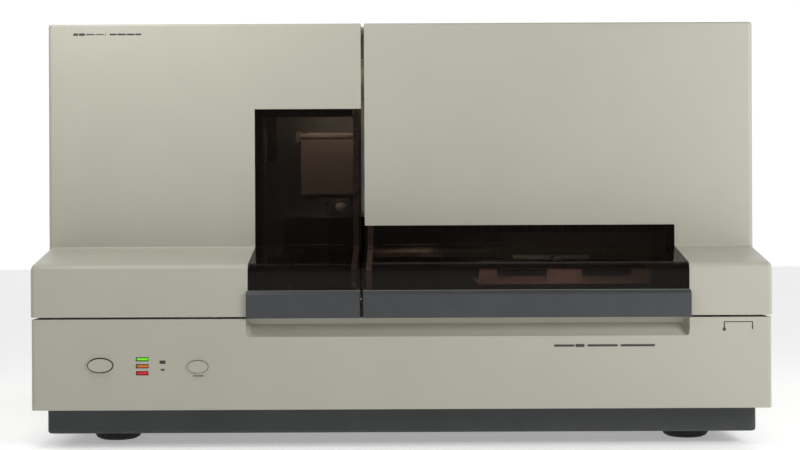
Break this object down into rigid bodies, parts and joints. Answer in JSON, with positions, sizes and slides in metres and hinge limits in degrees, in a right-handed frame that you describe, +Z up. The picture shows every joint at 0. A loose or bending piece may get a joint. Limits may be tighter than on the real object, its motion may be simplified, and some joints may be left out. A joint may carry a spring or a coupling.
{
  "type": "genetic analyzer",
  "caption": "Benchtop capillary genetic analyser: grey cabinet on a dark plinth, two front doors with bent smoked windows, oven, pump and moving sample tray inside.",
  "frame": {"origin": "bottom centre of the whole instrument, on the surface its feet stand on", "axes": "+X to the right seen from the front, -Y out of the front, +Z up"},
  "size_m": [0.74, 0.61, 0.435],
  "materials": {
    "warm_grey_plastic": "fine moulded texture, warm light grey",
    "warm_grey_paint": "powder coat, warm light grey",
    "smoked_acrylic": "polished, dark brown smoke",
    "dark_grip": "satin moulded, charcoal",
    "plinth_paint": "satin powder coat, dark grey",
    "black_rubber": "matt",
    "black_plastic": "satin",
    "plated_steel": "zinc plated sheet",
    "bright_steel": "ground",
    "lens": "tinted light bars",
    "oven_panel": "satin enamel",
    "gasket": "silicone",
    "heater": "bead blasted",
    "fan_plastic": "satin",
    "motor_case": "satin black",
    "aluminium": "anodised",
    "array": "moulded, with steel electrodes",
    "detector": "satin, beige brown",
    "clear_block": "polished clear plastic",
    "jars": "translucent",
    "tubing": "clear tube",
    "plate_plastic": "natural moulded",
    "board": "green laminate",
    "supply_case": "plated"
  },
  "bodies": {
    "root": {"lower_front_panel": "warm_grey_plastic", "left_side_cover": "warm_grey_paint", "right_side_cover": "warm_grey_paint", "top_cover": "warm_grey_paint", "rear_panel": "warm_grey_paint", "base_plinth": "plinth_paint", "rubber_feet": "black_rubber", "rear_connectors": "black_plastic", "fan_frame": "black_plastic", "chassis_floor": "plated_steel", "left_frame_wall": "plated_steel", "right_frame_wall": "plated_steel", "bulkhead": "plated_steel", "sample_deck": "plated_steel", "centre_post": "plated_steel", "door_catches": "plated_steel", "hinge_brackets": "plated_steel", "optics_shelf": "plated_steel", "screws": "bright_steel", "x_rails": "bright_steel", "status_lenses": "lens", "oven_housing": "oven_panel", "oven_gasket": "gasket", "oven_heater": "heater", "oven_fan_motor": "motor_case", "pump_motor": "motor_case", "laser_head": "aluminium", "spectrograph": "aluminium", "capillary_array": "array", "detection_housing": "detector", "pump_block": "clear_block", "valve_block": "clear_block", "pump_jars": "jars", "polymer_tubes": "tubing", "circuit_boards": "board", "power_supply": "supply_case"},
    "left_door": {"left_door_shell": "warm_grey_plastic", "left_door_window": "smoked_acrylic", "left_window_frame": "black_plastic", "left_door_handle": "dark_grip"},
    "right_door": {"right_door_shell": "warm_grey_plastic", "right_door_window": "smoked_acrylic", "right_window_frame": "black_plastic", "right_door_handle": "dark_grip"},
    "power_button": {"power_button": "warm_grey_plastic"},
    "tray_button": {"tray_button": "warm_grey_plastic"},
    "oven_door": {"oven_door": "oven_panel"},
    "oven_latch": {"oven_latch": "black_plastic"},
    "oven_fan": {"oven_fan": "fan_plastic"},
    "detection_door": {"detection_door": "detector"},
    "pump_piston": {"pump_piston": "bright_steel"},
    "pump_screw": {"pump_screw": "bright_steel"},
    "valve_pin": {"valve_pin": "bright_steel"},
    "x_carriage": {"x_carriage": "aluminium"},
    "y_carriage": {"y_carriage": "aluminium"},
    "rear_fan": {"rear_fan": "black_plastic"},
    "mains_switch": {"mains_switch": "black_plastic"},
    "sample_lift": {"sample_tray": "aluminium", "sample_plates": "plate_plastic", "reservoirs": "plate_plastic"}
  },
  "joints": [
    {"name": "left_door_hinge", "type": "hinge", "parent": "root", "child": "left_door", "pos_m": [-0.364, -0.194, 0.28], "axis": [0, 0, -1], "range_deg": [0, 100]},
    {"name": "right_door_hinge", "type": "hinge", "parent": "root", "child": "right_door", "pos_m": [0.364, -0.194, 0.28], "axis": [0, 0, 1], "range_deg": [0, 100]},
    {"name": "power_button_press", "type": "slide", "parent": "root", "child": "power_button", "axis": [0, 1, 0], "range_m": [0, 0.0025], "stiffness_N_per_m": 400, "springref_m": -0.001},
    {"name": "tray_button_press", "type": "slide", "parent": "root", "child": "tray_button", "axis": [0, 1, 0], "range_m": [0, 0.002], "stiffness_N_per_m": 400, "springref_m": -0.001},
    {"name": "oven_door_hinge", "type": "hinge", "parent": "root", "child": "oven_door", "pos_m": [0.333, -0.1595, 0.33], "axis": [0, 0, 1], "range_deg": [0, 80]},
    {"name": "oven_latch_turn", "type": "hinge", "parent": "oven_door", "child": "oven_latch", "pos_m": [-0.006, -0.16, 0.336], "axis": [0, 1, 0], "range_deg": [0, 90]},
    {"name": "oven_fan_spin", "type": "hinge", "parent": "root", "child": "oven_fan", "pos_m": [0.151, -0.049, 0.33], "axis": [0, 1, 0], "continuous": true},
    {"name": "detection_door_hinge", "type": "hinge", "parent": "root", "child": "detection_door", "pos_m": [-0.08, -0.147, 0.319], "axis": [-1, 0, 0], "range_deg": [0, 80]},
    {"name": "pump_piston_slide", "type": "slide", "parent": "root", "child": "pump_piston", "axis": [0, 0, -1], "range_m": [0, 0.025]},
    {"name": "pump_screw_turn", "type": "hinge", "parent": "root", "child": "pump_screw", "pos_m": [-0.164, -0.13, 0.37], "axis": [0, 0, 1], "range_deg": [0, 1800]},
    {"name": "valve_pin_slide", "type": "slide", "parent": "root", "child": "valve_pin", "axis": [0, 0, 1], "range_m": [0, 0.004]},
    {"name": "sampler_x", "type": "slide", "parent": "root", "child": "x_carriage", "axis": [-1, 0, 0], "range_m": [0, 0.218]},
    {"name": "sampler_y", "type": "slide", "parent": "x_carriage", "child": "y_carriage", "axis": [0, 1, 0], "range_m": [0, 0.1]},
    {"name": "sampler_lift", "type": "slide", "parent": "y_carriage", "child": "sample_lift", "axis": [0, 0, 1], "range_m": [0, 0.03]},
    {"name": "rear_fan_spin", "type": "hinge", "parent": "root", "child": "rear_fan", "pos_m": [0.205, 0.28, 0.33], "axis": [0, 1, 0], "continuous": true},
    {"name": "mains_switch_rock", "type": "hinge", "parent": "root", "child": "mains_switch", "pos_m": [-0.212, 0.297, 0.084], "axis": [-1, 0, 0], "range_deg": [0, 16]}
  ],
  "couplings": [
    {"joint": "oven_door_hinge", "follows": "right_door_hinge", "ratio": 0.8},
    {"joint": "pump_screw_turn", "follows": "pump_piston_slide", "rad_per_m": 1256.6}
  ]
}
